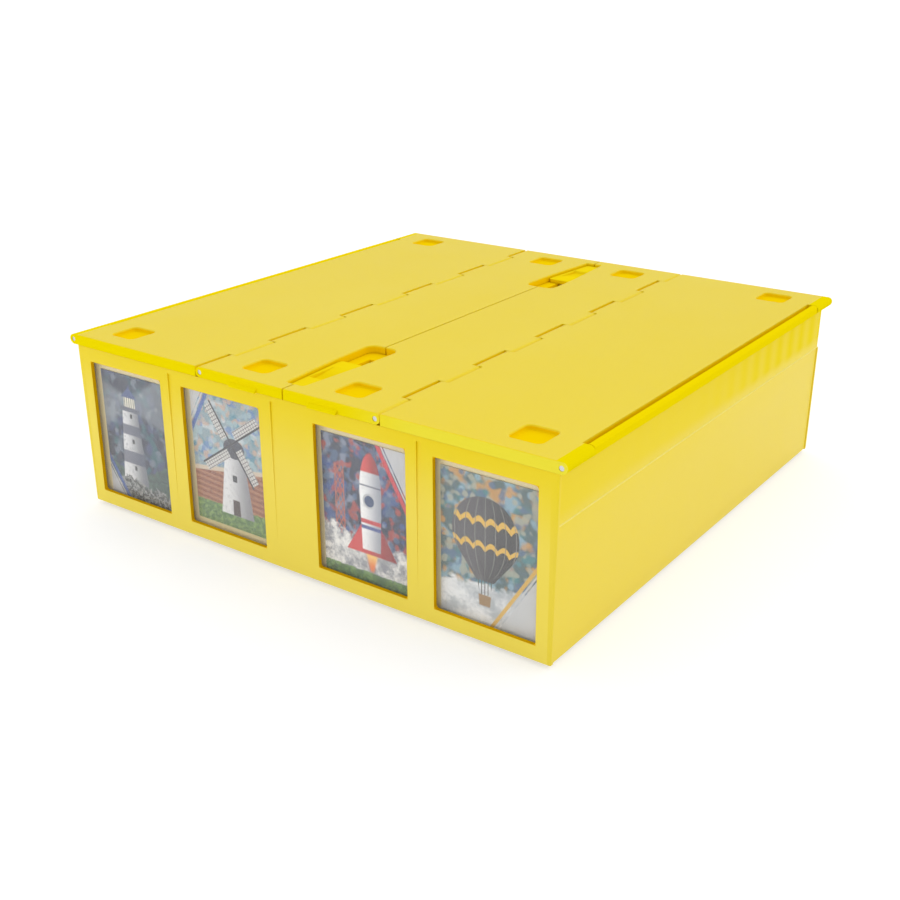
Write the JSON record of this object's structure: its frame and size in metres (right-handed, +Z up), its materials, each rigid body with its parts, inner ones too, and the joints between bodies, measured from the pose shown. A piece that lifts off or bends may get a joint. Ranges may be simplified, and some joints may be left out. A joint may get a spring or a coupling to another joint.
{
  "type": "card storage box",
  "caption": "Square moulded plastic box for rows of trading cards, with folding bi-fold lids, sliding latches and display windows in its front wall.",
  "frame": {"origin": "middle of the closed box's footprint, on the plane of the feet", "axes": "+X across the front to the right, +Y from the windowed front to the back, +Z up"},
  "size_m": [0.3774, 0.3748, 0.1202],
  "materials": {
    "yellow_plastic": "satin moulded plastic",
    "pin_steel": "drawn steel rod",
    "clear_sleeve": "clear rigid film, slightly hazy",
    "printed_card_1": "coated printed board",
    "printed_card_2": "coated printed board",
    "printed_card_3": "coated printed board",
    "printed_card_4": "coated printed board"
  },
  "bodies": {
    "tub": {"tub_floor": "yellow_plastic", "tub_front": "yellow_plastic", "tub_back": "yellow_plastic", "tub_side_left": "yellow_plastic", "tub_side_right": "yellow_plastic", "slot_wall_left": "yellow_plastic", "slot_wall_right": "yellow_plastic", "spine_wall_left": "yellow_plastic", "spine_wall_right": "yellow_plastic", "divider_wall_left": "yellow_plastic", "divider_wall_right": "yellow_plastic", "hinge_pin_outer_left": "pin_steel", "hinge_pin_outer_right": "pin_steel", "card_sleeve_1": "clear_sleeve", "card_sleeve_2": "clear_sleeve", "card_sleeve_3": "clear_sleeve", "card_sleeve_4": "clear_sleeve", "display_card_1": "printed_card_1", "display_card_2": "printed_card_2", "display_card_3": "printed_card_3", "display_card_4": "printed_card_4", "partition_far_left_front": "yellow_plastic", "partition_far_left_rear": "yellow_plastic", "partition_mid_left_front": "yellow_plastic", "partition_mid_left_rear": "yellow_plastic", "partition_mid_right_front": "yellow_plastic", "partition_mid_right_rear": "yellow_plastic", "partition_far_right_front": "yellow_plastic", "partition_far_right_rear": "yellow_plastic"},
    "outer_left": {"outer_lid_left": "yellow_plastic", "hinge_pin_inner_left": "pin_steel"},
    "outer_right": {"outer_lid_right": "yellow_plastic", "hinge_pin_inner_right": "pin_steel"},
    "inner_left": {"inner_lid_left": "yellow_plastic"},
    "inner_right": {"inner_lid_right": "yellow_plastic"},
    "latch_front": {"latch_slider_front": "yellow_plastic"},
    "latch_rear": {"latch_slider_rear": "yellow_plastic"}
  },
  "joints": [
    {"name": "left_lid_hinge", "type": "hinge", "parent": "tub", "child": "outer_left", "pos_m": [-0.18545, 0, 0.1169], "axis": [0, -1, 0], "range_deg": [0, 180]},
    {"name": "right_lid_hinge", "type": "hinge", "parent": "tub", "child": "outer_right", "pos_m": [0.18545, 0, 0.1169], "axis": [0, 1, 0], "range_deg": [0, 180]},
    {"name": "left_fold", "type": "hinge", "parent": "outer_left", "child": "inner_left", "pos_m": [-0.06785, 0, 0.1169], "axis": [0, -1, 0], "range_deg": [0, 90]},
    {"name": "right_fold", "type": "hinge", "parent": "outer_right", "child": "inner_right", "pos_m": [0.06785, 0, 0.1169], "axis": [0, 1, 0], "range_deg": [0, 90]},
    {"name": "front_latch_slide", "type": "slide", "parent": "inner_right", "child": "latch_front", "axis": [0, 1, 0], "range_m": [0, 0.02]},
    {"name": "rear_latch_slide", "type": "slide", "parent": "inner_right", "child": "latch_rear", "axis": [0, -1, 0], "range_m": [0, 0.02]}
  ]
}
